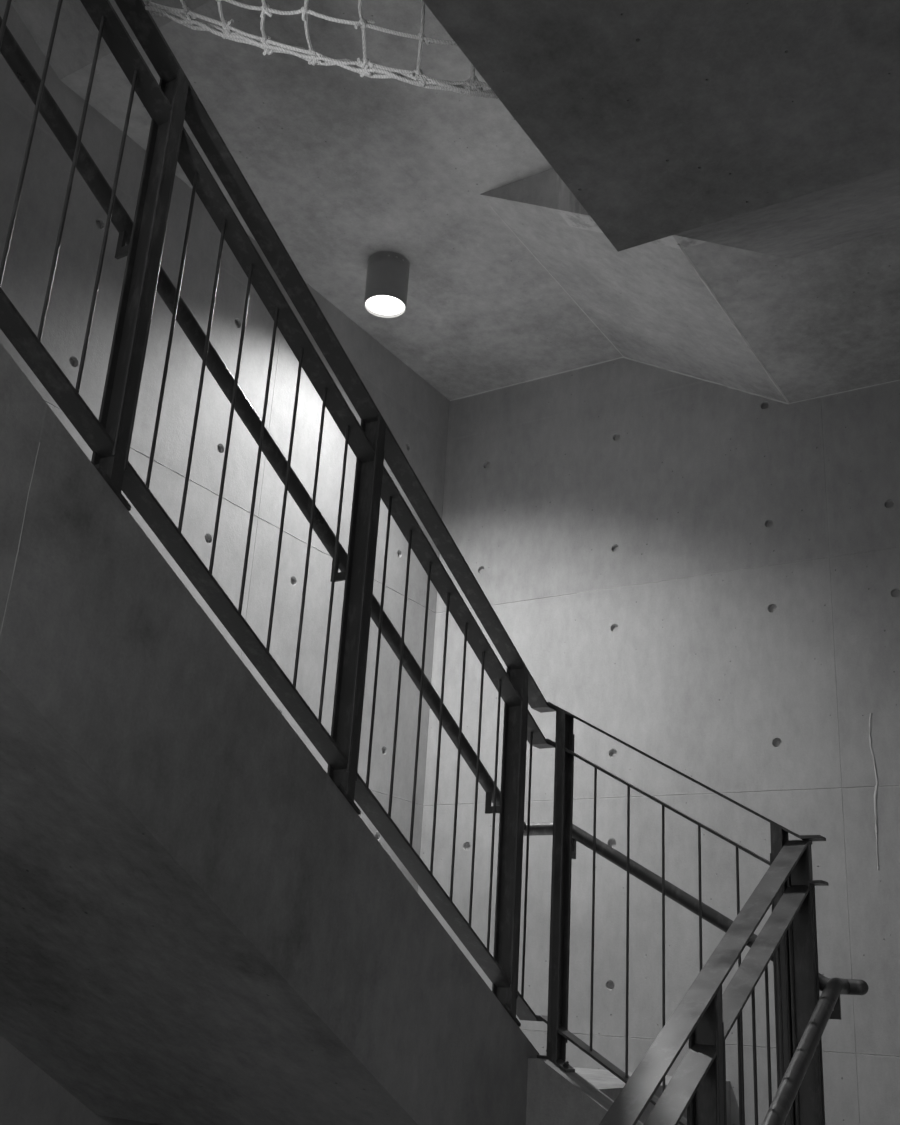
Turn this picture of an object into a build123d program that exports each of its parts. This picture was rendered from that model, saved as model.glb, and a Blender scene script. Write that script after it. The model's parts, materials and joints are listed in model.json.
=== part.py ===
"""Concrete stairwell: a shaft with an open well, turning flights, flat-bar railings and a ceiling lamp."""
import os

from build123d import *

os.makedirs("parts", exist_ok=True)

# Steps
riser = 140
tread = 250
lower_risers = 6
cross_risers = 3
main_risers = 14
upper_main_risers = 11

# Plan of the shaft
flight_width = 1275
well_width = 723
shaft_depth = 6000
well_end_depth = 1299
left_landing_depth = 1415
right_landing_depth = 1322
upper_left_landing_depth = 2237
cross_setback = 111

# Concrete
wall = 200
slab = 170
base_slab_thickness = 200
main_soffit_drop = 438
cross_soffit_drop = 415
lower_soffit_drop = 365
floor_lip = 232
string_width = 110
string_rise = 47
cross_string_rise = 35
kerb = 75
parapet = 1100

# Railing
rail_height = 1027
cross_rail_height = 1030
landing_rail_height = 1080
sub_rail_drop = 114
bottom_rail_drop = 901
bar_width = 58
bar_thickness = 8
long_inset = 22
cross_inset = 72
post_depth = 60
post_length = 30
post_wall = 6
post_pitch = 800
lower_post_pitch = 694
lower_post_count = 3
guard_post_count = 3
main_post_offset = 177
cross_post_offset = 71
corner_post_gap = 49
wall_post_gap = 80
corner_stub = 36
string_ledge = 12
rod_diameter = 12
bay_rod_pitch = 100
cross_rod_pitch = 106
cross_rods = 5
rod_sides = 8
foot_plate_length = 90
foot_plate_thickness = 8

# Tube handrail
handrail_height = 675
handrail_level = 721
handrail_offset = 80
handrail_diameter = 38
handrail_wall = 3
handrail_bend = 60
handrail_stub = 60
handrail_end = 40
bracket_thickness = 8
bracket_drop = 80
bracket_arm = 20
bracket_leg = 16

# Lamp
lamp_diameter = 172
lamp_height = 205
lamp_wall = 5
lens_recess = 12
lens_thickness = 6
lamp_from_left_wall = 393
lamp_from_end_wall = 1096

# Safety net over the well
net_from_end_wall = 2950
net_thickness = 12
net_gap = 0.3
net_sag = 90
net_left_rise = 140

# Places in plan, with the middle of the well at x = 0
slope = riser / tread
half_bar = bar_width / 2
left_x = -(well_width / 2 + flight_width)
right_x = -left_x
well_left_x = -well_width / 2
well_right_x = well_width / 2
end_y = (shaft_depth - wall) / 2
open_y = end_y - shaft_depth
well_end_y = end_y - well_end_depth
kerb_end_y = well_end_y + string_width
main_start_y = end_y - left_landing_depth
main_end_y = main_start_y - (main_risers - 1) * tread
upper_main_start_y = end_y - upper_left_landing_depth
upper_main_end_y = upper_main_start_y - (upper_main_risers - 1) * tread
lower_end_y = end_y - right_landing_depth
lower_start_y = lower_end_y - (lower_risers - 1) * tread
cross_end_x = well_left_x + cross_setback
cross_start_x = cross_end_x + (cross_risers - 1) * tread

# Floor levels, from the underside of the base slab
lower_floor = base_slab_thickness
right_landing = lower_floor + lower_risers * riser
left_landing = right_landing + cross_risers * riser
upper_floor = left_landing + main_risers * riser
upper_right_landing = upper_floor + lower_risers * riser
upper_left_landing = upper_right_landing + cross_risers * riser
top_floor = upper_left_landing + upper_main_risers * riser
wall_top = top_floor + parapet

# Railing lines in plan
main_rail_x = well_left_x - long_inset
lower_rail_x = well_right_x + long_inset
cross_rail_y = well_end_y + cross_inset
lower_last_post = cross_rail_y - (lower_post_count - 1) * lower_post_pitch
handrail_left_x = main_rail_x - handrail_offset
handrail_right_x = lower_rail_x + handrail_offset
handrail_corner_y = cross_rail_y + handrail_offset


def side_plane(axis, place):
    """A vertical plane: along y at one x, or along x at one y. Its second coordinate is the height."""
    if axis == "y":
        return Plane.YZ.offset(place)
    return Plane.XZ.offset(-place)


def in_plan(axis, place, line_place):
    """A point in plan on a line along one axis."""
    return (line_place, place) if axis == "y" else (place, line_place)


def finish(body, name):
    """Names a piece and writes it."""
    body.label = name
    export_step(body, "parts/" + name + ".step")


def plate(axis, near, far, outline):
    """An outline on a vertical plane, made into a body between two places across it."""
    with BuildPart() as body:
        with BuildSketch(side_plane(axis, (near + far) / 2)):
            Polygon(*outline, align=None)
        extrude(amount=abs(far - near) / 2, both=True)
    return body.part


def cast_slab(outline, level, thickness=slab):
    """A floor or landing of any outline, with its top at a level."""
    with BuildPart() as body:
        with BuildSketch(Plane.XY.offset(level - thickness)):
            Polygon(*outline, align=None)
        extrude(amount=thickness)
    return body.part


def rectangle_outline(x_range, y_range):
    (low_x, high_x), (low_y, high_y) = x_range, y_range
    return [(low_x, low_y), (high_x, low_y), (high_x, high_y), (low_x, high_y)]


# A flight is drawn by its run from the lowest riser, and then set at its start, forwards or backwards
def nosing_run(floor, height):
    """The run at which the line of nosings comes to a height."""
    return (height - floor - riser) / slope


def run_line(floor, count, rise, level, foot, head):
    """A line parallel to the nosings, level over both landings, between two runs."""
    low = floor + level
    high = floor + count * riser + level
    bends = [nosing_run(floor, height - rise) for height in (low, high)]
    runs = [foot] + [bend for bend in bends if foot < bend < head] + [head]
    return [(run, min(max(floor + riser + slope * run + rise, low), high)) for run in runs]


def underside(floor, count, drop, on_ground, lip):
    """The soffit, from its upper crease down to its lower one, or to the lip of a floor that stands lower."""
    low = floor if on_ground else floor - slab
    high = floor + count * riser - slab
    points = [(nosing_run(floor, high + drop), high)]
    if lip:
        return points + [(lip, floor + riser + slope * lip - drop), (lip, low)]
    return points + [(nosing_run(floor, low + drop), low)]


def flight_outline(floor, count, drop, on_ground=False, lip=None):
    """Steps above and the soffit below. The top riser is the edge of the slab above."""
    points = [(0, floor)] if on_ground else [(0, floor - slab), (0, floor)]
    for step in range(1, count):
        points.append(((step - 1) * tread, floor + step * riser))
        points.append((step * tread, floor + step * riser))
    points.append(((count - 1) * tread, floor + count * riser - slab))
    return points + underside(floor, count, drop, on_ground, lip)


def string_outline(floor, count, rise, drop, foot, head, bed="beside", ledge=0, lip=None):
    """The upstand beside the steps, and the face below it down to the soffit."""
    points = [(foot, floor - slab if bed == "beside" else floor)]
    if ledge:
        points += [(foot, floor + kerb), (foot + ledge, floor + kerb)]
    points += run_line(floor, count, rise, kerb, foot + ledge, head)
    points.append((head, floor + count * riser - slab))
    points += underside(floor, count, drop, bed == "ground", lip)
    if bed == "slab":
        points += [(0, floor - slab), (0, floor)]
    return points


def set_out(outline, start, way):
    """Runs turned into places along the flight's axis."""
    return [(start + way * run, height) for run, height in outline]


def clipped(line, first, last):
    """The part of a bent line between two places."""
    inner = [point for point in line if first < point[0] < last]
    if line[0][0] > line[-1][0]:
        first, last = last, first
    return [(first, height_at(line, first))] + inner + [(last, height_at(line, last))]


def height_at(line, place):
    """The height of a bent line at one place along it."""
    for (a, low), (b, high) in zip(line, line[1:]):
        if min(a, b) <= place <= max(a, b):
            return low + (high - low) * (place - a) / (b - a)
    raise ValueError("the place is off the line")


def shifted(line, rise):
    """The same line, higher or lower."""
    return [(place, height + rise) for place, height in line]


def band(upper, lower):
    """The closed outline between two lines."""
    return upper + lower[::-1]


# Shell of the shaft
def shell():
    outer_x = (left_x - wall, right_x + wall)
    depth = (open_y, end_y + wall)
    rise = wall_top - base_slab_thickness
    base = cast_slab(rectangle_outline(outer_x, depth), base_slab_thickness, base_slab_thickness)
    finish(base, "base_slab")
    for name, x_range, y_range in (("long_wall", (left_x - wall, left_x), depth),
                                   ("right_wall", (right_x, right_x + wall), depth),
                                   ("end_wall", (left_x, right_x), (end_y, end_y + wall))):
        finish(cast_slab(rectangle_outline(x_range, y_range), wall_top, rise), name)


# Landings: each meets two flights, and the strings pass its well corner
def left_landing_slab(level, start_y, name):
    inner_x = well_left_x - string_width
    outline = [(left_x, end_y), (cross_end_x, end_y), (cross_end_x, kerb_end_y), (inner_x, kerb_end_y),
               (inner_x, start_y), (left_x, start_y)]
    finish(cast_slab(outline, level), name)


def right_landing_slab(level, name):
    inner_x = well_right_x + string_width
    outline = [(right_x, end_y), (cross_start_x, end_y), (cross_start_x, kerb_end_y), (inner_x, kerb_end_y),
               (inner_x, lower_end_y), (right_x, lower_end_y)]
    finish(cast_slab(outline, level), name)


# Floors, with a kerb round the well
def upper_floor_slab():
    inner_x = well_left_x - string_width
    outer_x = well_right_x + string_width
    inner_y = main_end_y - string_width
    kerb_stop_y = lower_start_y + nosing_run(upper_floor, upper_floor + kerb - string_rise)
    floor = cast_slab([(left_x, main_end_y), (well_right_x, main_end_y), (well_right_x, lower_start_y),
                       (right_x, lower_start_y), (right_x, open_y), (left_x, open_y)], upper_floor)
    edge = cast_slab([(inner_x, main_end_y), (well_right_x, main_end_y), (well_right_x, kerb_stop_y),
                      (outer_x, kerb_stop_y), (outer_x, inner_y), (inner_x, inner_y)],
                     upper_floor + kerb, kerb)
    finish(floor + edge, "upper_floor_slab")


def top_floor_slab():
    floor = cast_slab(rectangle_outline((left_x, right_x), (open_y, upper_main_end_y)), top_floor)
    edge = cast_slab(rectangle_outline((well_left_x - string_width, right_x),
                                       (upper_main_end_y - string_width, upper_main_end_y)),
                     top_floor + kerb, kerb)
    finish(floor + edge, "top_floor_slab")


# Flights: the steps and waist between the wall and the string, and the string with its well face
def main_flight(floor, count, start_y, name):
    inner_x = well_left_x - string_width
    steps = set_out(flight_outline(floor, count, main_soffit_drop), start_y, -1)
    finish(plate("y", left_x, inner_x, steps), name)
    string = string_outline(floor, count, string_rise, main_soffit_drop, start_y - kerb_end_y,
                            (count - 1) * tread)
    finish(plate("y", inner_x, well_left_x, set_out(string, start_y, -1)), name + "_string")


def cross_flight(floor, name):
    steps = set_out(flight_outline(floor, cross_risers, cross_soffit_drop), cross_start_x, -1)
    finish(plate("x", kerb_end_y, end_y, steps), name)
    string = string_outline(floor, cross_risers, cross_string_rise, cross_soffit_drop,
                            cross_start_x - well_right_x, cross_start_x - well_left_x, ledge=string_ledge)
    finish(plate("x", well_end_y, kerb_end_y, set_out(string, cross_start_x, -1)), name + "_string")


def lower_flight(floor, on_ground, name):
    inner_x = well_right_x + string_width
    lip = None if on_ground else floor_lip
    steps = set_out(flight_outline(floor, lower_risers, lower_soffit_drop, on_ground, lip), lower_start_y, 1)
    finish(plate("y", inner_x, right_x, steps), name)
    foot = -tread if on_ground else nosing_run(floor, floor + kerb - string_rise)
    string = string_outline(floor, lower_risers, string_rise, lower_soffit_drop, foot,
                            kerb_end_y - lower_start_y, "ground" if on_ground else "slab", lip=lip)
    finish(plate("y", well_right_x, inner_x, set_out(string, lower_start_y, 1)), name + "_string")


# Railings
def post_section(axis):
    """H section, its flanges along the railing."""
    turn = 0 if axis == "y" else 90
    notch = (post_length - post_wall) / 2
    Rectangle(post_depth, post_length, rotation=turn)
    for side in (-1, 1):
        with Locations(in_plan(axis, side * (post_wall + notch) / 2, 0)):
            Rectangle(post_depth - 2 * post_wall, notch, rotation=turn, mode=Mode.SUBTRACT)


def rod_section(axis):
    """A polygon stands for a round rod."""
    RegularPolygon(rod_diameter / 2, rod_sides)


def uprights(axis, line_place, places, upper, lower, section):
    """Vertical bars of one section between two lines."""
    low = min(height for _, height in lower)
    high = max(height for _, height in upper)
    with BuildPart() as bars:
        with BuildSketch(Plane.XY.offset(low)):
            with Locations(*[in_plan(axis, place, line_place) for place in places]):
                section(axis)
        extrude(amount=high - low)
        with BuildSketch(side_plane(axis, line_place)):
            Polygon(*band(upper, lower), align=None)
        extrude(amount=post_depth, both=True, mode=Mode.INTERSECT)
    return bars.part


def railing(name, axis, line_place, top_line, seat_line, posts, rods, infill_ends=None, stub_levels=()):
    """Posts on foot plates, with the sub rail, the bottom rail and the rods, and the top rail on the posts."""
    sub_line = shifted(top_line, -sub_rail_drop)
    bottom_line = shifted(top_line, -bottom_rail_drop)
    middle = -bar_thickness / 2
    post_bars = uprights(axis, line_place, posts, shifted(top_line, -bar_thickness),
                         shifted(seat_line, foot_plate_thickness / 2), post_section)
    rod_bars = uprights(axis, line_place, rods, shifted(sub_line, middle), shifted(bottom_line, middle),
                        rod_section)
    seat_low, seat_high = sorted((seat_line[0][0], seat_line[-1][0]))
    flat_bars = []
    for line in (sub_line, bottom_line):
        flat_bars.append((clipped(line, *infill_ends) if infill_ends else line, -bar_thickness))
    for post in posts:
        ends = (max(seat_low, post - foot_plate_length / 2), min(seat_high, post + foot_plate_length / 2))
        flat_bars.append((clipped(seat_line, *ends), foot_plate_thickness))
    with BuildPart() as frame:
        for line, thickness in flat_bars:
            with BuildSketch(side_plane(axis, line_place)):
                Polygon(*band(shifted(line, thickness), line), align=None)
            extrude(amount=half_bar, both=True)
        add(post_bars)
        add(rod_bars)
        for level in stub_levels:
            with BuildSketch(Plane.XY.offset(level - bar_thickness)):
                with Locations((line_place + post_depth / 2, posts[0])):
                    Rectangle(corner_stub, bar_width, align=(Align.MIN, Align.CENTER))
            extrude(amount=bar_thickness)
    finish(frame.part, name + "_railing")
    top_bar = band(top_line, shifted(top_line, -bar_thickness))
    finish(plate(axis, line_place - half_bar, line_place + half_bar, top_bar), name + "_top_rail")


def rods_between(posts):
    """Rods that divide each bay into equal gaps."""
    places = []
    for first, last in zip(posts, posts[1:]):
        gaps = round(abs(last - first) / bay_rod_pitch)
        places += [first + number * (last - first) / gaps for number in range(1, gaps)]
    return places


def handrail(name, axis, line_place, side, line, posts, stubs=(), domed=False):
    """A bent tube on one side of a railing, on an L-shaped bracket from each post."""
    tube_place = line_place + side * handrail_offset
    radius = handrail_diameter / 2
    with BuildPart() as rail:
        with BuildLine() as path:
            FilletPolyline(*[(*in_plan(axis, place, tube_place), height) for place, height in line],
                           radius=handrail_bend)
        with BuildSketch(Plane(origin=path.line @ 0, z_dir=path.line % 0)):
            Circle(radius)
            Circle(radius - handrail_wall, mode=Mode.SUBTRACT)
        sweep(path=path.line)
        if domed:
            with Locations(path.line @ 0, path.line @ 1):
                Sphere(radius)
        for place, height in stubs:
            with BuildSketch(Plane.XZ.offset(-tube_place)):
                with Locations((place, height)):
                    Circle(radius)
            extrude(amount=handrail_stub)
        for post in posts:
            foot = height_at(line, post) - bracket_drop
            near = line_place + side * post_depth / 2
            far = tube_place + side * bracket_leg / 2
            with BuildSketch(side_plane("x" if axis == "y" else "y", post)):
                Polygon((near, foot), (far, foot), (far, foot + bracket_drop), (far - side * bracket_leg,
                        foot + bracket_drop), (far - side * bracket_leg, foot + bracket_arm),
                        (near, foot + bracket_arm), align=None)
            extrude(amount=bracket_thickness / 2, both=True)
    finish(rail.part, name + "_handrail")


def main_railing(floor, count, start_y, name):
    foot = start_y - cross_rail_y - half_bar
    head = (count - 1) * tread + cross_inset + half_bar
    top_line = run_line(floor, count, rail_height, landing_rail_height, foot, head)
    seat_line = run_line(floor, count, string_rise, kerb, foot, head)
    first = cross_rail_y - main_post_offset
    corner_y = start_y - head + half_bar
    bays = int((first - corner_y) // post_pitch)
    posts = [first - number * post_pitch for number in range(bays + 1)]
    free_rods = [posts[0] + bay_rod_pitch, (posts[-1] + corner_y) / 2]
    railing(name, "y", main_rail_x, set_out(top_line, start_y, -1), set_out(seat_line, start_y, -1), posts,
            rods_between(posts) + free_rods)
    tube_foot = start_y - handrail_corner_y + handrail_stub
    tube = run_line(floor, count, handrail_height, handrail_level, tube_foot, head)
    handrail(name, "y", main_rail_x, -1, set_out(tube, start_y, -1), posts)


def cross_railing(floor, name):
    foot = cross_start_x - lower_rail_x - half_bar - corner_stub
    head = cross_start_x - main_rail_x + half_bar
    top_level = landing_rail_height + bar_thickness
    top_line = run_line(floor, cross_risers, cross_rail_height, top_level, foot, head)
    seat_foot = cross_start_x - well_right_x + string_ledge
    seat_line = run_line(floor, cross_risers, cross_string_rise, kerb, seat_foot, cross_start_x - well_left_x)
    posts = [main_rail_x + cross_post_offset, lower_rail_x - corner_post_gap]
    rods = [posts[0] + (number + 1) * cross_rod_pitch for number in range(cross_rods)]
    infill_ends = (main_rail_x - half_bar, lower_rail_x - post_depth / 2)
    railing(name, "x", cross_rail_y, set_out(top_line, cross_start_x, -1),
            set_out(seat_line, cross_start_x, -1), posts, rods, infill_ends)
    tube_foot = cross_start_x - handrail_right_x - handrail_end
    tube_head = cross_start_x - handrail_left_x + handrail_end
    tube = run_line(floor, cross_risers, handrail_height, handrail_level, tube_foot, tube_head)
    upper_level = floor + cross_risers * riser + handrail_level
    stubs = [(handrail_left_x, upper_level), (handrail_right_x, floor + handrail_level)]
    handrail(name, "x", cross_rail_y, 1, set_out(tube, cross_start_x, -1), posts, stubs, True)


def lower_railing(floor, name):
    foot = lower_last_post - half_bar - lower_start_y
    head = cross_rail_y + half_bar - lower_start_y
    top_line = run_line(floor, lower_risers, rail_height, landing_rail_height, foot, head)
    seat_line = run_line(floor, lower_risers, string_rise, kerb, foot - foot_plate_length,
                         kerb_end_y - lower_start_y)
    posts = [cross_rail_y - number * lower_post_pitch for number in range(lower_post_count)]
    stub_levels = [floor + lower_risers * riser + landing_rail_height + bar_thickness - drop
                   for drop in (sub_rail_drop, bottom_rail_drop)]
    railing(name, "y", lower_rail_x, set_out(top_line, lower_start_y, 1),
            set_out(seat_line, lower_start_y, 1), posts, rods_between(posts), stub_levels=stub_levels)
    tube = run_line(floor, lower_risers, handrail_height, handrail_level, foot - handrail_end,
                    handrail_corner_y - handrail_stub - lower_start_y)
    handrail(name, "y", lower_rail_x, 1, set_out(tube, lower_start_y, 1), posts)


def upper_floor_guards():
    """The guard beside the well on the upper floor, up to the railing of the flight that goes on."""
    corner_y = main_end_y - cross_inset
    foot = corner_y - half_bar - lower_start_y
    head = lower_last_post - half_bar - lower_start_y
    top_line = run_line(upper_floor, lower_risers, rail_height, landing_rail_height, foot, head)
    seat_line = run_line(upper_floor, lower_risers, string_rise, kerb, foot, head)
    pitch = (lower_last_post - corner_y) / guard_post_count
    posts = [corner_y + number * pitch for number in range(guard_post_count)]
    railing("upper_floor_side", "y", lower_rail_x, set_out(top_line, lower_start_y, 1),
            set_out(seat_line, lower_start_y, 1), posts, rods_between(posts + [lower_last_post]))
    ends = (main_rail_x - half_bar, lower_rail_x + half_bar)
    level_guard("upper_floor_near", upper_floor, corner_y, ends,
                [main_rail_x + cross_post_offset, lower_rail_x - corner_post_gap],
                (main_rail_x - half_bar, lower_rail_x - post_depth / 2))


def top_floor_guard():
    first = main_rail_x + cross_post_offset
    last = right_x - wall_post_gap
    bays = round((last - first) / post_pitch)
    posts = [first + number * (last - first) / bays for number in range(bays + 1)]
    ends = (main_rail_x - half_bar, right_x)
    level_guard("top_floor", top_floor, upper_main_end_y - cross_inset, ends, posts)


def level_guard(name, floor, place, ends, posts, infill_ends=None):
    top_line = [(end, floor + landing_rail_height + bar_thickness) for end in ends]
    seat_line = [(end, floor + kerb) for end in infill_ends or ends]
    railing(name, "x", place, top_line, seat_line, posts, rods_between(posts), infill_ends)


# Lamp under the upper left landing
def lamp():
    ceiling = upper_left_landing - slab
    centre = (left_x + lamp_from_left_wall, end_y - lamp_from_end_wall)
    with BuildPart() as body:
        with BuildSketch(Plane.XY.offset(ceiling - lamp_height)):
            with Locations(centre):
                Circle(lamp_diameter / 2)
        extrude(amount=lamp_height)
        with BuildSketch(Plane.XY.offset(ceiling - lamp_height)):
            with Locations(centre):
                Circle(lamp_diameter / 2 - lamp_wall)
        extrude(amount=lamp_height - lamp_wall, mode=Mode.SUBTRACT)
    finish(body.part, "lamp_body")
    with BuildPart() as lens:
        with BuildSketch(Plane.XY.offset(ceiling - lamp_height + lens_recess)):
            with Locations(centre):
                Circle(lamp_diameter / 2 - lamp_wall)
        extrude(amount=lens_thickness)
    finish(lens.part, "lamp_lens")


# Net stretched over the well, from the railing to the edge of the upper floor
def safety_net():
    near_x = main_rail_x + post_depth / 2 + net_gap
    far_x = well_right_x - net_gap
    start_y = end_y - net_from_end_wall
    end_of_net = main_end_y + net_gap
    left_height = upper_floor + net_left_rise
    middle = (left_height + upper_floor) / 2 - net_sag
    top = [(near_x, left_height), ((near_x + far_x) / 2, middle), (far_x, upper_floor)]
    finish(plate("x", end_of_net, start_y, band(top, shifted(top, -net_thickness))), "safety_net")


shell()
upper_floor_slab()
top_floor_slab()
left_landing_slab(left_landing, main_start_y, "left_landing")
right_landing_slab(right_landing, "right_landing")
right_landing_slab(upper_right_landing, "upper_right_landing")
left_landing_slab(upper_left_landing, upper_main_start_y, "upper_left_landing")

lower_flight(lower_floor, True, "lower_flight")
cross_flight(right_landing, "cross_flight")
main_flight(left_landing, main_risers, main_start_y, "main_flight")
lower_flight(upper_floor, False, "upper_lower_flight")
cross_flight(upper_right_landing, "upper_cross_flight")
main_flight(upper_left_landing, upper_main_risers, upper_main_start_y, "upper_main_flight")

lower_railing(lower_floor, "lower")
cross_railing(right_landing, "cross")
main_railing(left_landing, main_risers, main_start_y, "main")
lower_railing(upper_floor, "upper_lower")
cross_railing(upper_right_landing, "upper_cross")
main_railing(upper_left_landing, upper_main_risers, upper_main_start_y, "upper_main")
upper_floor_guards()
top_floor_guard()

lamp()
safety_net()
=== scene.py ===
"""Concrete stairwell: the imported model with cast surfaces, tie holes, painted steel,
a lamp and a rope net.
"""
import json
import math
import random

import bmesh
import bpy
from mathutils import Matrix, Vector

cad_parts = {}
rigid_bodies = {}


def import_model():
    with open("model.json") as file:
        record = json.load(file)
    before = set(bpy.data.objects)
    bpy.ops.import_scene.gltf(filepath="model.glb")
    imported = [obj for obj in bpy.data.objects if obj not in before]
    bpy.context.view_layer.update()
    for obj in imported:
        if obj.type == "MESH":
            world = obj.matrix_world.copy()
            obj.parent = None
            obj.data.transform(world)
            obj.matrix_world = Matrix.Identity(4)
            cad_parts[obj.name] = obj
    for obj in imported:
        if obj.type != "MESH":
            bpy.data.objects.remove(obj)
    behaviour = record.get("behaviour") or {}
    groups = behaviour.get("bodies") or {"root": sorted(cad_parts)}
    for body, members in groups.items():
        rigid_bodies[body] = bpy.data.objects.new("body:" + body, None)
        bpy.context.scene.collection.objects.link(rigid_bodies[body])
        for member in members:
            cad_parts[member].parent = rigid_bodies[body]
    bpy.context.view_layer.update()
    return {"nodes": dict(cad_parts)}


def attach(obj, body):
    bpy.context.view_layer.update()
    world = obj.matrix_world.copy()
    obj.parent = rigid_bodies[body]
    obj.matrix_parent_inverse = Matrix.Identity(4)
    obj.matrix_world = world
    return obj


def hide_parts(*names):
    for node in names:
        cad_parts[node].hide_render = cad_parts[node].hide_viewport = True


for leftover in list(bpy.data.objects):
    bpy.data.objects.remove(leftover)
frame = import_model()
scene = bpy.context.scene
nodes = frame["nodes"]

# Shaft, in metres
INNER_X = 1.6365
OUTER_X = 1.8365
END_Y = 2.9
OUTER_Y = 3.1
OPEN_Y = -3.1
WALL_FOOT = 0.2
WALL_TOP = 7.32
WELL_X = 0.3615
CEILING = 4.51

# Steps, floors and strings
RISER = 0.14
TREAD = 0.25
SLOPE = RISER / TREAD
KERB = 0.075
STRING_RISE = 0.047
CROSS_STRING_RISE = 0.035
LOWER_FLOOR = 0.2
LEFT_LANDING = 1.46
UPPER_FLOOR = 3.42
STOREY = 3.22
TOP_FLOOR = 6.22
RIGHT_LANDING_CLIMB = 0.84
MAIN_RISERS = 14
UPPER_MAIN_RISERS = 11
LOWER_RISERS = 6
CROSS_RISERS = 3
MAIN_START = 1.485
UPPER_MAIN_START = 0.663
LOWER_START = 0.328
CROSS_START = 0.2495
UPPER_MAIN_END = -1.837
MAIN_END = -1.765

# Railing lines and posts
MAIN_RAIL_X = -0.3835
LOWER_RAIL_X = 0.3835
CROSS_RAIL_Y = 1.673
EDGE_RAIL_INSET = 0.072
MAIN_POSTS = 5
MAIN_FIRST_POST = 0.177
MAIN_POST_PITCH = 0.8
LOWER_POSTS = 3
LOWER_POST_PITCH = 0.694
CROSS_POSTS_X = (MAIN_RAIL_X + 0.071, LOWER_RAIL_X - 0.049)
FLOOR_RAIL_Y = (-1.8375, 0.285)
TOP_RAIL_X = (-0.3125, 1.5565)
EDGE_RAIL_BAYS = 3
ROD_RADIUS = 0.0038

# Formwork panels, their joints and tie holes
PANEL_WIDTH = 1.83
PANEL_HEIGHT = 0.902
FIRST_JOINT_Z = 0.678
END_JOINT_X = 0.1935
SIDE_JOINT_Y = 1.635
HOLE_ROWS = (0.183, 0.722)
HOLE_COLUMNS = (0.237, 0.917, 1.597)
SIDE_HOLE_INSET = 0.243
SIDE_HOLE_PITCH = 0.699
SHORT_PANEL_HOLES = (0.243, 0.938)
HOLE_RADIUS = 0.0185
HOLE_BOTTOM_RADIUS = 0.0165
HOLE_DEPTH = 0.013
GROOVE = 0.002
UPRIGHT_GROOVE = 0.0013
JOINT_MARGIN = 0.02
HOLE_MARGIN = 0.05
SIDE_HOLE_MARGIN = 0.06
JOINT_FREE_BELOW_CEILING = 0.3
HOLE_FREE_BELOW_CEILING = 0.1

# Lamp
LAMP_X = -1.2435
LAMP_Y = 1.804
LAMP_FOOT = 4.305
LAMP_RADIUS = 0.086
LAMP_RIMS = ((0.0012, -0.0025, 0.0025), (0.204, 0.001, 0.0014), (0.168, -0.0001, 0.0008))
LAMP_SCREW_LEVEL = 0.184
LAMP_SCREW_TURNS = (-55, -33, -12, 125)

# Rope net over the well
NET_LEFT_X = -0.348
NET_RIGHT_X = 0.352
NET_LEFT_Z = UPPER_FLOOR + 0.175
NET_RIGHT_Z = UPPER_FLOOR - 0.08
NET_SAG = 0.05
NET_END_Y = -1.704
NET_FAR_Y = 9.0
NET_FIRST_X = -0.079
NET_PITCH_X = 0.0885
NET_DOWN = (0.066, -0.088)
NET_FIRST_COLUMN = -20
NET_LAST_COLUMN = 8
NET_ROWS = 22
NET_EDGE_X = 0.013
NET_EDGE_Y = -0.0985
NET_EDGE_SLOPE = 0.514
NET_EDGE_BOW = 0.36
NET_EDGE_REACH = 0.36
ROPE_RADIUS = 0.0038

# Cement fins, in their own planes
CRACK = ((0.315, 2.751), (0.305, 2.677), (0.305, 2.628), (0.3155, 2.566), (0.319, 2.493),
         (0.31, 2.452), (0.308, 2.351), (0.3055, 2.304), (0.304, 2.189))
CRACK_MIDDLE = (0.31, 2.45)
STRING_FIN = ((-0.284, 2.045), (-0.278, 2.35), (-0.280, 2.46), (-0.277, 2.557))
STRING_FIN_Y = -0.278
LEFT_CREASE_X = -0.688
RIGHT_CREASE_X = 0.0615
CREASE_START_Y = 1.68
HIGH_SEAM_Z, HIGH_CREASE_Z = 4.509, 4.5095
LOW_SEAM_Z, LOW_CREASE_Z = 4.089, 4.0895

# How far each part of the concrete's look changes its tone, and how deep its relief is
GRAIN_TONE = 0.045
STREAK_TONE = 0.02
PORE_TONE = -0.11
DUST_TONES = (-0.05, 0.03)
PANEL_TONE = 0.016
LEAK_TONE = -0.035
LIME_TONE = 0.05
RELIEF = 0.0036

WELD = 0.0001
UP = Vector((0, 0, 1))


def camera():
    """The photograph's place, angle, lens and framing."""
    width, height, focal = 900, 1125, 1172.4
    middle_x, middle_y = 456.9, 586.7
    eye = (1.2925, -1.447, 1.668)
    yaw, pitch, roll = (math.radians(angle) for angle in (-32.98, 19.49, 3.41))
    ahead = Vector((math.sin(yaw) * math.cos(pitch), math.cos(yaw) * math.cos(pitch),
                    math.sin(pitch)))
    level_right = Vector((math.cos(yaw), -math.sin(yaw), 0))
    level_down = ahead.cross(level_right)
    right = math.cos(roll) * level_right - math.sin(roll) * level_down
    down = math.sin(roll) * level_right + math.cos(roll) * level_down
    data = bpy.data.cameras.new("view")
    data.sensor_fit = "VERTICAL"
    data.lens = focal / height * data.sensor_height
    data.shift_x = (width / 2 - middle_x) / height
    data.shift_y = (middle_y - height / 2) / height
    data.clip_start = 0.02
    made = bpy.data.objects.new("view", data)
    turn = Matrix((right, -down, -ahead)).transposed().to_4x4()
    made.matrix_world = Matrix.Translation(eye) @ turn
    scene.collection.objects.link(made)
    scene.camera = made


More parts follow.
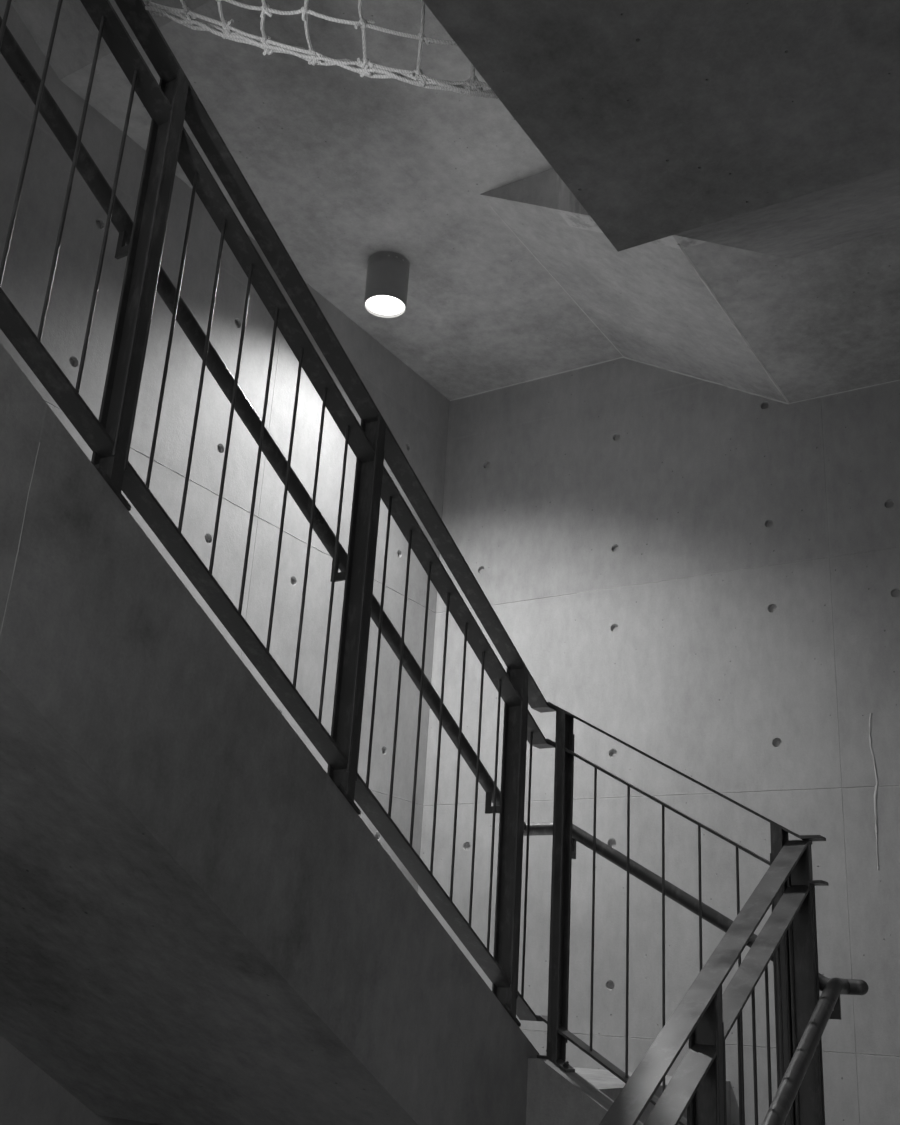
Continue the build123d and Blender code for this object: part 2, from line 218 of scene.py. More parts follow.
# Materials
class Finish:
    """A node material under construction."""

    def __init__(self, name, roughness=0.5, metallic=0.0, specular=0.5):
        self.material = bpy.data.materials.new(name)
        self.material.use_nodes = True
        self.tree = self.material.node_tree
        self.shader = self.tree.nodes["Principled BSDF"]
        self.set("Roughness", roughness)
        self.set("Metallic", metallic)
        self.set("Specular IOR Level", specular)
        self.place = self.add("ShaderNodeTexCoord").outputs["Object"]
        split = self.add("ShaderNodeSeparateXYZ", {"Vector": self.place})
        self.x, self.y, self.z = split.outputs
        normal = self.add("ShaderNodeNewGeometry").outputs["Normal"]
        self.facing_up = self.add("ShaderNodeSeparateXYZ", {"Vector": normal}).outputs[2]

    def add(self, kind, inputs=None, **settings):
        """A new node, its inputs given as numbers or as other nodes' outputs."""
        node = self.tree.nodes.new(kind)
        for key, value in settings.items():
            setattr(node, key, value)
        for key, value in (inputs or {}).items():
            self.put(node.inputs[key], value)
        return node

    def put(self, socket, value):
        """A number or another node's output into a socket."""
        if isinstance(value, bpy.types.NodeSocket):
            self.tree.links.new(value, socket)
        else:
            socket.default_value = value

    def set(self, name, value):
        """A number or a node's output into an input of the surface shader."""
        self.put(self.shader.inputs[name], value)

    def calc(self, operation, *values):
        node = self.add("ShaderNodeMath", dict(enumerate(values)), operation=operation)
        return node.outputs[0]

    def total(self, *values):
        result = values[0]
        for value in values[1:]:
            result = self.calc("ADD", result, value)
        return result

    def product(self, *values):
        result = values[0]
        for value in values[1:]:
            result = self.calc("MULTIPLY", result, value)
        return result

    def fit(self, value, low, high, to_low=0.0, to_high=1.0):
        """A value moved from one range to another, and held inside it."""
        made = self.add("ShaderNodeMapRange", {"Value": value, "From Min": low, "From Max": high,
                                               "To Min": to_low, "To Max": to_high})
        return made.outputs["Result"]

    def noise(self, scale, detail=3.0, rough=0.55, stretch=(1, 1, 1), shift=(0, 0, 0)):
        place = self.add("ShaderNodeMapping",
                         {"Vector": self.place, "Scale": stretch, "Location": shift})
        made = self.add("ShaderNodeTexNoise", {"Vector": place.outputs["Vector"], "Scale": scale,
                                               "Detail": detail, "Roughness": rough})
        return made.outputs["Fac"]

    def spread(self, value, amount):
        """A noise from 0 to 1 made into a change of plus or minus an amount."""
        return self.product(self.calc("SUBTRACT", value, 0.5), 2 * amount)

    def near(self, value, place, half_width):
        """1 on a line, falling to 0 at its half width."""
        away = self.calc("ABSOLUTE", self.calc("SUBTRACT", value, place))
        return self.fit(away, 0.0, half_width, 1.0, 0.0)

    def bump(self, height, depth):
        made = self.add("ShaderNodeBump", {"Height": height, "Distance": depth, "Strength": 1.0})
        self.set("Normal", made.outputs["Normal"])


def panel_marks(made, axis):
    """Panels that differ a little in tone, with dark leaks and pale lime at their joints."""
    along, first = (made.x, END_JOINT_X) if axis == "x" else (made.y, SIDE_JOINT_Y)
    column = made.calc("DIVIDE", made.calc("SUBTRACT", along, first), PANEL_WIDTH)
    row = made.calc("DIVIDE", made.calc("SUBTRACT", made.z, FIRST_JOINT_Z), PANEL_HEIGHT)
    cell = made.add("ShaderNodeCombineXYZ",
                    {"X": made.calc("FLOOR", column), "Y": made.calc("FLOOR", row)})
    draw = made.add("ShaderNodeTexWhiteNoise", {"Vector": cell.outputs[0]}).outputs["Value"]
    parts = [made.spread(draw, PANEL_TONE)]
    for share, size in ((column, PANEL_WIDTH), (row, PANEL_HEIGHT)):
        from_joint = made.product(made.calc("PINGPONG", share, 0.5), size)
        broken = made.fit(made.noise(3.3, 4.0, 0.6, shift=(4, 1, 2)), 0.42, 0.66)
        parts.append(made.product(made.fit(from_joint, 0.0, 0.05, LEAK_TONE, 0.0), broken))
        parts.append(made.product(made.fit(from_joint, 0.003, 0.008, LIME_TONE, 0.0), broken))
    return parts


def concrete(name, tone, clouds=0.05, blotches=0.0, panels=None, extra=None, mottling=0.05):
    """Cast concrete: clouds, mottling, blow holes, run-down streaks, dust on what faces up
    and, on walls, its panels."""
    made = Finish(name, specular=0.25)
    mottle = made.noise(4.2, 6.0, 0.62)
    grain = made.noise(150.0, 3.0, 0.7)
    scuffs = made.noise(26.0, 5.0, 0.66, stretch=(1.0, 0.8, 0.45))
    large = made.noise(0.75, 3.0, 0.5, shift=(3.1, 1.7, 0.4))
    drips = made.noise(7.0, 3.0, 0.5, stretch=(1, 1, 0.09))
    cells = made.add("ShaderNodeTexVoronoi", {"Vector": made.place, "Scale": 42.0})
    pick = made.add("ShaderNodeSeparateColor", {"Color": cells.outputs["Color"]}).outputs[0]
    size = made.fit(pick, 0.82, 1.0, 0.0, 0.17)
    pores = made.fit(made.calc("SUBTRACT", size, cells.outputs["Distance"]), 0.0, 0.05)
    parts = [tone, made.spread(large, clouds * 1.6), made.spread(mottle, clouds),
             made.spread(drips, STREAK_TONE), made.spread(grain, GRAIN_TONE),
             made.spread(scuffs, mottling), made.product(pores, PORE_TONE)]
    if blotches:
        stain = made.noise(2.1, 7.0, 0.66, shift=(0.6, 2.2, 5.1))
        parts.append(made.fit(stain, 0.53, 0.72, 0.0, -blotches))
    upward = made.fit(made.facing_up, 0.6, 0.95)
    dust = made.noise(9.0, 5.0, 0.6)
    parts.append(made.product(upward, made.fit(dust, 0.35, 0.7, *DUST_TONES)))
    if panels:
        parts += panel_marks(made, panels)
    if extra:
        parts += extra(made)
    made.set("Base Color", made.total(*parts))
    made.set("Roughness", made.fit(mottle, 0.3, 0.7, 0.62, 0.86))
    relief = made.total(made.product(mottle, 0.55), made.product(grain, 0.18),
                        made.product(scuffs, 0.3), made.product(pores, -0.9))
    made.bump(relief, RELIEF)
    return made.material


def end_wall_marks(made):
    """The paler strip beside the corner, and the stain round the long crack."""
    corner = made.near(made.x, -INNER_X + 0.02, 0.03)
    broken = made.fit(made.noise(3.0, 3.0, 0.5, shift=(7, 0, 1)), 0.35, 0.6, 0.3, 1.0)
    crack_x, crack_z = CRACK_MIDDLE
    crack = made.product(made.near(made.x, crack_x, 0.06), made.near(made.z, crack_z, 0.42))
    return [made.product(corner, broken, 0.05), made.product(crack, -0.03)]


def string_marks(made):
    """A pale hairline up the face of the long flight's string."""
    broken = made.fit(made.noise(9.0, 3.0), 0.3, 0.5, 0.4, 1.0)
    hair = made.product(made.near(made.y, STRING_FIN_Y, 0.003), broken)
    return [made.product(hair, 0.05)]


def well_face_light_and_drips(made):
    """The face over the well, its lit part painted paler as painted light, with dark runs of
    water.
    """
    # Painted light: this part of the face is painted 0.1 paler where it is lit. The dark runs are
    # water stains.
    face = made.fit(made.x, -0.366, -0.361)
    runs = made.noise(16.0, 4.0, 0.6, stretch=(1, 1, 0.06))
    return [made.product(face, 0.1), made.product(face, made.fit(runs, 0.5, 0.6, 0.0, -0.16))]


def steel(name, tone, roughness, dust):
    """Satin paint on steel: brush-wide clouds, scuffs along the bar and dust on what faces up."""
    made = Finish(name, roughness=roughness, specular=0.5)
    cloud = made.noise(11.0, 5.0, 0.6)
    scuff = made.noise(30.0, 4.0, 0.7, stretch=(1.0, 1.0, 0.35))
    grain = made.noise(420.0, 2.0, 0.6)
    upward = made.fit(made.facing_up, 0.3, 0.9)
    shade = made.total(tone, made.spread(cloud, tone * 0.35),
                       made.fit(scuff, 0.52, 0.74, 0.0, tone * 1.3),
                       made.product(upward, made.fit(cloud, 0.3, 0.75, dust * 0.4, dust)))
    made.set("Base Color", shade)
    made.set("Roughness", made.fit(cloud, 0.3, 0.7, roughness - 0.08, roughness + 0.14))
    made.bump(made.total(made.product(grain, 0.35), made.product(scuff, 0.4)), 0.0006)
    return made.material


def screw_steel():
    """Bare steel, rubbed."""
    made = Finish("screw_steel", roughness=0.28, metallic=1.0)
    wear = made.noise(300.0, 3.0, 0.6)
    made.set("Base Color", made.total(0.55, made.spread(wear, 0.08)))
    made.bump(wear, 0.0003)
    return made.material


def lamp_paint():
    """Grey powder coat with a fine orange-peel surface."""
    made = Finish("lamp_paint", roughness=0.38, specular=0.5)
    peel = made.noise(520.0, 2.0, 0.5)
    cloud = made.noise(16.0, 3.0, 0.5)
    made.set("Base Color", made.total(0.3, made.spread(cloud, 0.03)))
    made.set("Roughness", made.fit(cloud, 0.3, 0.7, 0.32, 0.46))
    made.bump(peel, 0.0003)
    return made.material


def lens_glow():
    """Frosted lens, brighter in its middle."""
    made = Finish("lens_glow", roughness=0.4)
    away_x = made.calc("SUBTRACT", made.x, LAMP_X)
    away_y = made.calc("SUBTRACT", made.y, LAMP_Y)
    squares = made.calc("ADD", made.product(away_x, away_x), made.product(away_y, away_y))
    away = made.calc("SQRT", squares)
    frost = made.noise(300.0, 2.0, 0.5)
    made.set("Base Color", made.total(0.8, made.spread(frost, 0.05)))
    made.set("Emission Color", (1.0, 0.985, 0.95, 1))
    made.set("Emission Strength", made.fit(away, 0.05, 0.08, 6.0, 2.2))
    made.bump(frost, 0.0004)
    return made.material


def rope():
    """Braided pale rope with slanting strands and grey handling marks."""
    made = Finish("rope", roughness=0.82, specular=0.2)
    wave = made.add("ShaderNodeTexWave", {"Vector": made.place, "Scale": 95.0, "Distortion": 2.2,
                                          "Detail": 2.0, "Detail Scale": 3.0},
                    bands_direction="DIAGONAL")
    strands = wave.outputs["Fac"]
    grime = made.noise(14.0, 4.0, 0.6)
    fuzz = made.noise(700.0, 2.0, 0.7)
    made.set("Base Color", made.total(0.74, made.spread(grime, 0.1), made.spread(fuzz, 0.05),
                                      made.spread(strands, 0.09)))
    made.set("Sheen Weight", 0.15)
    made.bump(made.total(strands, made.product(fuzz, 0.4)), 0.0012)
    return made.material


def pale_floor():
    """The plain floor of the scene."""
    made = Finish("pale_floor", roughness=0.9, specular=0.1)
    cloud = made.noise(0.8, 3.0, 0.5)
    made.set("Base Color", made.total(0.72, made.spread(cloud, 0.01)))
    return made.material


# Mesh work
def link(name, mesh, material, smooth=None):
    """An object in the scene. Smooth gives the angle from which an edge stays sharp."""
    made = bpy.data.objects.new(name, mesh)
    scene.collection.objects.link(made)
    mesh.materials.clear()
    mesh.materials.append(material)
    if smooth:
        for face in mesh.polygons:
            face.use_smooth = True
        mesh.set_sharp_from_angle(angle=math.radians(smooth))
    return made


def mesh_of(shape, name):
    """A mesh from a built shape, which is used up."""
    mesh = bpy.data.meshes.new(name)
    shape.to_mesh(mesh)
    shape.free()
    return mesh


def welded(node):
    """A copy of a CAD node's shape, with the corners of its faces joined."""
    shape = bmesh.new()
    shape.from_mesh(nodes[node].data)
    bmesh.ops.remove_doubles(shape, verts=shape.verts, dist=WELD)
    return shape


def piece(name, build, material, smooth=None, stands_for=()):
    """A new mesh piece of the object."""
    shape = bmesh.new()
    build(shape)
    made = link(name, mesh_of(shape, name), material, smooth)
    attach(made, "root")
    if stands_for:
        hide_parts(*stands_for)


def turns(count):
    """Angles evenly round a circle."""
    return [2 * math.pi * step / count for step in range(count)]


def tube(shape, points, radius, sides=6, closed=False):
    """A round bar along a smooth list of points, with closed ends or joined to itself."""
    points = [Vector(point) for point in points]
    count = len(points)
    rings = []
    side = None
    for number, point in enumerate(points):
        before = points[(number - 1) % count] if closed else points[max(number - 1, 0)]
        after = points[(number + 1) % count] if closed else points[min(number + 1, count - 1)]
        ahead = (after - before).normalized()
        if side is None:
            side = ahead.orthogonal().normalized()
        side = (side - side.dot(ahead) * ahead).normalized()
        up = ahead.cross(side)
        rings.append([shape.verts.new(point + radius * (math.cos(turn) * side
                                                        + math.sin(turn) * up))
                      for turn in turns(sides)])
    pairs = list(zip(rings, rings[1:])) + ([(rings[-1], rings[0])] if closed else [])
    for low, high in pairs:
        for step in range(sides):
            after = (step + 1) % sides
            shape.faces.new((low[step], low[after], high[after], high[step]))
    if not closed:
        shape.faces.new(rings[0][::-1])
        shape.faces.new(rings[-1])


def lathe(shape, profile, centre, axis, segments=24):
    """A closed turned shape. The profile gives (distance along the axis, radius), and its
    radius is 0 at both ends."""
    axis = Vector(axis).normalized()
    side = axis.orthogonal().normalized()
    up = axis.cross(side)
    centre = Vector(centre)
    rings = []
    for along, radius in profile:
        if radius == 0:
            rings.append([shape.verts.new(centre + axis * along)])
            continue
        rings.append([shape.verts.new(centre + axis * along + radius * (math.cos(turn) * side
                                                                        + math.sin(turn) * up))
                      for turn in turns(segments)])
    for low, high in zip(rings, rings[1:]):
        for step in range(segments):
            after = (step + 1) % segments
            corners = [low[step % len(low)], low[after % len(low)],
                       high[after % len(high)], high[step % len(high)]]
            unique = list(dict.fromkeys(corners))
            if len(unique) > 2:
                shape.faces.new(unique)


def prism(shape, start, end, first, second, reach):
    """A four-sided bar from start to end, its edges at plus and minus reach along two
    directions."""
    corners = [Vector(first) * reach, Vector(second) * reach,
               -Vector(first) * reach, -Vector(second) * reach]
    rings = [[shape.verts.new(Vector(middle) + corner) for corner in corners]
             for middle in (start, end)]
    for step in range(4):
        after = (step + 1) % 4
        shape.faces.new((rings[0][step], rings[0][after], rings[1][after], rings[1][step]))
    shape.faces.new(rings[0][::-1])
    shape.faces.new(rings[1])


def ridge(shape, points, normal, width, height, chance, wobble=0.3):
    """A thin uneven fin of cement on a flat face, along a line."""
    pitch, depth = 0.04, 0.0008
    normal = Vector(normal)
    points = [Vector(point) for point in points]
    path = []
    for start, end in zip(points, points[1:]):
        steps = max(2, int((end - start).length / pitch))
        path += [start.lerp(end, step / steps) for step in range(steps)]
    path.append(points[-1])
    rings = []
    for number, point in enumerate(path):
        before = path[max(number - 1, 0)]
        after = path[min(number + 1, len(path) - 1)]
        side = (after - before).normalized().cross(normal)
        half = width / 2 * (1 + wobble * chance.uniform(-1, 1))
        tip = height * (1 + wobble * chance.uniform(-1, 0.6))
        lean = half * chance.uniform(-0.4, 0.4)
        sunk = point - normal * depth
        rings.append([shape.verts.new(sunk - side * half),
                      shape.verts.new(point + side * lean + normal * tip),
                      shape.verts.new(sunk + side * half)])
    for low, high in zip(rings, rings[1:]):
        for step in range(3):
            after = (step + 1) % 3
            shape.faces.new((low[step], low[after], high[after], high[step]))
    shape.faces.new(rings[0][::-1])
    shape.faces.new(rings[-1])


def cut(target, build):
    """Cuts a built shape from an object's mesh."""
    shape = bmesh.new()
    build(shape)
    bmesh.ops.recalc_face_normals(shape, faces=shape.faces)
    mesh = mesh_of(shape, "cutter")
    cutter = bpy.data.objects.new("cutter", mesh)
    scene.collection.objects.link(cutter)
    modifier = target.modifiers.new("cut", "BOOLEAN")
    modifier.operation = "DIFFERENCE"
    modifier.solver = "MANIFOLD"
    modifier.object = cutter
    evaluated = target.evaluated_get(bpy.context.evaluated_depsgraph_get())
    result = bpy.data.meshes.new_from_object(evaluated)
    target.modifiers.remove(modifier)
    target.data = result
    bpy.data.objects.remove(cutter)
    bpy.data.meshes.remove(mesh)


def soften(bars):
    """Rounded edges on flat bars."""
    bevel = bars.modifiers.new("soft_edges", "BEVEL")
    bevel.width = 0.0012
    bevel.segments = 2
    bevel.limit_method = "ANGLE"
    bevel.angle_limit = math.radians(30)


# Walls
def repeated(first, pitch, low, high):
    """Places at a pitch, between two limits."""
    start = first - pitch * math.floor((first - low) / pitch)
    count = int((high - start) / pitch) + 1
    places = [start + number * pitch for number in range(count)]
    return [place for place in places if low < place < high]


JOINT_LEVELS = repeated(FIRST_JOINT_Z, PANEL_HEIGHT, WALL_FOOT + JOINT_MARGIN,
                        WALL_TOP - JOINT_MARGIN)
HOLE_LEVELS = sorted(level for row in HOLE_ROWS
                     for level in repeated(FIRST_JOINT_Z + row, PANEL_HEIGHT,
                                           WALL_FOOT + HOLE_MARGIN, WALL_TOP - HOLE_MARGIN))
HOLE_PROFILE = ((-0.002, 0), (-0.002, HOLE_RADIUS + 0.0002), (0.0005, HOLE_RADIUS),
                (HOLE_DEPTH, HOLE_BOTTOM_RADIUS),
                (HOLE_DEPTH + 0.0012, HOLE_BOTTOM_RADIUS - 0.0025),
                (HOLE_DEPTH, 0.006), (HOLE_DEPTH, 0))


def cast_wall(node, axis, faces, spans, joints, columns, material):
    """A wall with the grooves of its panel joints and the holes of its ties in both faces,
    of which the inner one comes first."""
    wall = link("cast_" + node, mesh_of(welded(node), "cast_" + node), material)
    along = Vector((1, 0, 0)) if axis == "x" else Vector((0, 1, 0))
    across = Vector((0, 1, 0)) if axis == "x" else Vector((1, 0, 0))

    def at(place, face, level):
        return along * place + across * face + UP * level

    def levels(every, face, free):
        """The levels of a face, without those just under the ceiling, where it is plain."""
        return [level for level in every
                if face != faces[0] or not CEILING - free < level < CEILING]

    def level_grooves(shape):
        for face, (start, end) in zip(faces, spans):
            for level in levels(JOINT_LEVELS, face, JOINT_FREE_BELOW_CEILING):
                prism(shape, at(start, face, level), at(end, face, level), across, UP, GROOVE)

    def upright_grooves(shape):
        for face in faces:
            for place in joints:
                prism(shape, at(place, face, WALL_FOOT - 0.1), at(place, face, WALL_TOP + 0.1),
                      across, along, UPRIGHT_GROOVE)

    def holes(shape):
        inward = across if faces[0] < faces[1] else -across
        for face, way in zip(faces, (inward, -inward)):
            for place in columns:
                for level in levels(HOLE_LEVELS, face, HOLE_FREE_BELOW_CEILING):
                    lathe(shape, HOLE_PROFILE, at(place, face, level), way, 20)

    for build in (level_grooves, upright_grooves, holes):
        cut(wall, build)
    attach(wall, "root")
    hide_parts(node)


def walls():
    """The three walls again, with their joints and holes."""
    side_joints = repeated(SIDE_JOINT_Y, PANEL_WIDTH, OPEN_Y + JOINT_MARGIN, END_Y - JOINT_MARGIN)
    side_columns = [joint - SIDE_HOLE_INSET - number * SIDE_HOLE_PITCH
                    for joint in side_joints for number in range(3)]
    side_columns = [place for place in side_columns if place > OPEN_Y + SIDE_HOLE_MARGIN]
    side_columns += [SIDE_JOINT_Y + place for place in SHORT_PANEL_HOLES]
    end_columns = [-INNER_X + place for place in HOLE_COLUMNS]
    end_columns += [END_JOINT_X + place for place in HOLE_COLUMNS[:2]]
    side = concrete("side_wall_concrete", 0.4, clouds=0.07, panels="y", mottling=0.08)
    end = concrete("end_wall_concrete", 0.4, clouds=0.07, panels="x", extra=end_wall_marks,
                   mottling=0.08)
    past = 0.2
    spans = ((OPEN_Y - past, END_Y), (OPEN_Y - past, OUTER_Y + past))
    for node, faces in (("long_wall", (-INNER_X, -OUTER_X)), ("right_wall", (INNER_X, OUTER_X))):
        cast_wall(node, "y", faces, spans, side_joints, side_columns, side)
    cast_wall("end_wall", "x", (END_Y, OUTER_Y), ((-INNER_X, INNER_X),) * 2, [END_JOINT_X],
              end_columns, end)


# Lamp
SCREW_PROFILE = ((0, 0), (0, 0.0042), (0.0016, 0.0042), (0.0026, 0.0032), (0.003, 0.0016),
                 (0.0016, 0.0012), (0.0016, 0))


def lamp_details(paint):
    """The lamp's rim, seams and screws."""
    def trim(shape):
        for level, outward, thickness in LAMP_RIMS:
            reach = LAMP_RADIUS + outward
            ring = [(LAMP_X + reach * math.cos(turn), LAMP_Y + reach * math.sin(turn),
                     LAMP_FOOT + level) for turn in turns(72)]
            tube(shape, ring, thickness, 8, closed=True)

    def screws(shape):
        for turn in LAMP_SCREW_TURNS:
            away = Vector((math.cos(math.radians(turn)), math.sin(math.radians(turn)), 0))
            middle = Vector((LAMP_X, LAMP_Y, LAMP_FOOT + LAMP_SCREW_LEVEL))
            lathe(shape, SCREW_PROFILE, middle + away * (LAMP_RADIUS - 0.0005), away, 16)

    piece("lamp_trim", trim, paint, smooth=40)
    piece("lamp_screws", screws, screw_steel(), smooth=40)


# Railings
BOLT_OFFSET = 0.031
PLATE = 0.0075
NUT_PROFILE = ((0, 0), (0, 0.0095), (0.0016, 0.0095), (0.0016, 0.0072), (0.0018, 0.0074),
               (0.0066, 0.0074), (0.0078, 0.0062), (0.0078, 0.0042), (0.0112, 0.0038),
               (0.0122, 0.0026), (0.0122, 0))
ROD_LEAST_LENGTH = 0.3
FACET_MOST_WIDTH = 0.0052
ROD_LEAST_GAP = 0.03


def seat_at(floor, count, rise, start, way, place):
    """Height and slope of the string's top at a place."""
    low, high = floor + KERB, floor + count * RISER + KERB
    height = floor + RISER + SLOPE * (place - start) * way + rise
    level = min(max(height, low), high)
    return level, (SLOPE * way if level == height else 0.0)


def foot_places():
    """Each foot plate: its railing's direction and line, its place there, and the height and
    slope of the concrete under it."""
    feet = []
    for floor, count, start in ((LEFT_LANDING, MAIN_RISERS, MAIN_START),
                                (LEFT_LANDING + STOREY, UPPER_MAIN_RISERS, UPPER_MAIN_START)):
        for number in range(MAIN_POSTS):
            place = CROSS_RAIL_Y - MAIN_FIRST_POST - number * MAIN_POST_PITCH
            seat = seat_at(floor, count, STRING_RISE, start, -1, place)
            feet.append(("y", MAIN_RAIL_X, place, *seat))
    for floor in (LOWER_FLOOR, UPPER_FLOOR):
        for number in range(LOWER_POSTS):
            place = CROSS_RAIL_Y - number * LOWER_POST_PITCH
            seat = seat_at(floor, LOWER_RISERS, STRING_RISE, LOWER_START, 1, place)
            feet.append(("y", LOWER_RAIL_X, place, *seat))
        for place in CROSS_POSTS_X:
            seat = seat_at(floor + RIGHT_LANDING_CLIMB, CROSS_RISERS, CROSS_STRING_RISE,
                           CROSS_START, -1, place)
            feet.append(("x", CROSS_RAIL_Y, place, *seat))
    first, last = FLOOR_RAIL_Y
    for number in range(EDGE_RAIL_BAYS):
        place = first + number * (last - first) / EDGE_RAIL_BAYS
        seat = seat_at(UPPER_FLOOR, LOWER_RISERS, STRING_RISE, LOWER_START, 1, place)
        feet.append(("y", LOWER_RAIL_X, place, *seat))
    for place in CROSS_POSTS_X:
        feet.append(("x", MAIN_END - EDGE_RAIL_INSET, place, UPPER_FLOOR + KERB, 0.0))
    first, last = TOP_RAIL_X
    for number in range(EDGE_RAIL_BAYS + 1):
        place = first + number * (last - first) / EDGE_RAIL_BAYS
        feet.append(("x", UPPER_MAIN_END - EDGE_RAIL_INSET, place, TOP_FLOOR + KERB, 0.0))
    return feet


def foot_bolts(material):
    """Two nuts on every foot plate."""
    def build(shape):
        for axis, line, place, height, slope in foot_places():
            if axis == "y":
                along, across = Vector((0, 1, slope)), Vector((1, 0, 0))
                middle = Vector((line, place, height))
            else:
                along, across = Vector((1, 0, slope)), Vector((0, 1, 0))
                middle = Vector((place, line, height))
            along.normalize()
            normal = along.cross(across)
            normal = normal if normal.z > 0 else -normal
            for side in (-1, 1):
                foot = middle + along * side * BOLT_OFFSET + normal * PLATE
                lathe(shape, NUT_PROFILE, foot, normal, 12)

    piece("foot_bolts", build, material, smooth=25)


def rod_facets(shape):
    """The tall narrow faces of a panel: the sides of its rods."""
    facets = []
    for face in shape.faces:
        places = [corner.co for corner in face.verts]
        tall = max(place.z for place in places) - min(place.z for place in places)
        wide = max((one.xy - other.xy).length for one in places for other in places)
        if tall > ROD_LEAST_LENGTH and wide < FACET_MOST_WIDTH:
            facets.append(face)
    return facets


def rod_ends(facets):
    """The lower and upper end of each rod whose facets are given."""
    corners = sorted(dict.fromkeys(corner for face in facets for corner in face.verts),
                     key=lambda corner: (round(corner.co.x + corner.co.y, 5), corner.co.z))
    groups = []
    for corner in corners:
        if not groups or (corner.co.xy - groups[-1][0].xy).length > ROD_LEAST_GAP:
            groups.append([])
        groups[-1].append(corner.co.copy())
    ends = []
    for group in groups:
        middle = sum((place.z for place in group), 0.0) / len(group)
        low = [place for place in group if place.z < middle]
        high = [place for place in group if place.z >= middle]
        ends.append((sum(low, Vector()) / len(low), sum(high, Vector()) / len(high)))
    return ends


def slim_rods(railings, material):
    """Panels whose faceted rods give way to slim round ones."""
    rods = []
    for node in railings:
        shape = welded(node)
        facets = rod_facets(shape)
        rods += rod_ends(facets)
        bmesh.ops.delete(shape, geom=facets, context="FACES")
        open_edges = [edge for edge in shape.edges if edge.is_boundary]
        bmesh.ops.holes_fill(shape, edges=open_edges, sides=0)
        name = node.replace("_railing", "_panel")
        panel = link(name, mesh_of(shape, name), material)
        soften(panel)
        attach(panel, "root")
        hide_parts(node)

    def build(shape):
        sunk = 0.004
        for low, high in rods:
            end = (high - low).length + sunk
            profile = ((-sunk, 0), (-sunk, ROD_RADIUS), (end, ROD_RADIUS), (end, 0))
            lathe(shape, profile, low, high - low, 12)

    piece("railing_rods", build, material, smooth=40)


# Rope net
def net_height(x):
    """The net hangs from the railing on the left to the slab's edge on the right."""
    share = min(max((x - NET_LEFT_X) / (NET_RIGHT_X - NET_LEFT_X), 0.0), 1.0)
    sag = NET_SAG * 4 * share * (1 - share)
    return NET_LEFT_Z + (NET_RIGHT_Z - NET_LEFT_Z) * share - sag


def net_edge(x):
    """The slanting, slightly bowed edge of the net towards the end wall."""
    from_middle = x - NET_EDGE_X
    bow = min(max(from_middle, -NET_EDGE_REACH), NET_EDGE_REACH)
    return NET_EDGE_Y + NET_EDGE_SLOPE * from_middle + NET_EDGE_BOW * bow * bow


def in_well(start, end):
    """The two ends of a strand's part between the well's sides and beyond the net's near
    end, or nothing."""
    least_share = 0.04
    low, high = 0.0, 1.0
    for here, there, least, most in ((start.x, end.x, NET_LEFT_X, NET_RIGHT_X),
                                     (start.y, end.y, NET_END_Y, NET_FAR_Y)):
        first, last = sorted(((least - here) / (there - here), (most - here) / (there - here)))
        low, high = max(low, first), min(high, last)
    if high - low < least_share:
        return None
    ends = [start.lerp(end, low), start.lerp(end, high)]
    for point, whole in zip(ends, (low == 0, high == 1)):
        if not whole:
            point.z = net_height(point.x)
    return ends


def net_knots(chance):
    """Where the knots of the net lie, by column and row."""
    knots = {}
    for row in range(NET_ROWS):
        for column in range(NET_FIRST_COLUMN, NET_LAST_COLUMN):
            x = NET_FIRST_X + NET_PITCH_X * column
            y = net_edge(x) + row * NET_DOWN[1] + (chance.uniform(-0.011, 0.011) if row else 0)
            x += row * NET_DOWN[0] + chance.uniform(-0.008, 0.008)
            knots[column, row] = Vector((x, y, net_height(x) + chance.uniform(-0.008, 0.005)))
    return knots


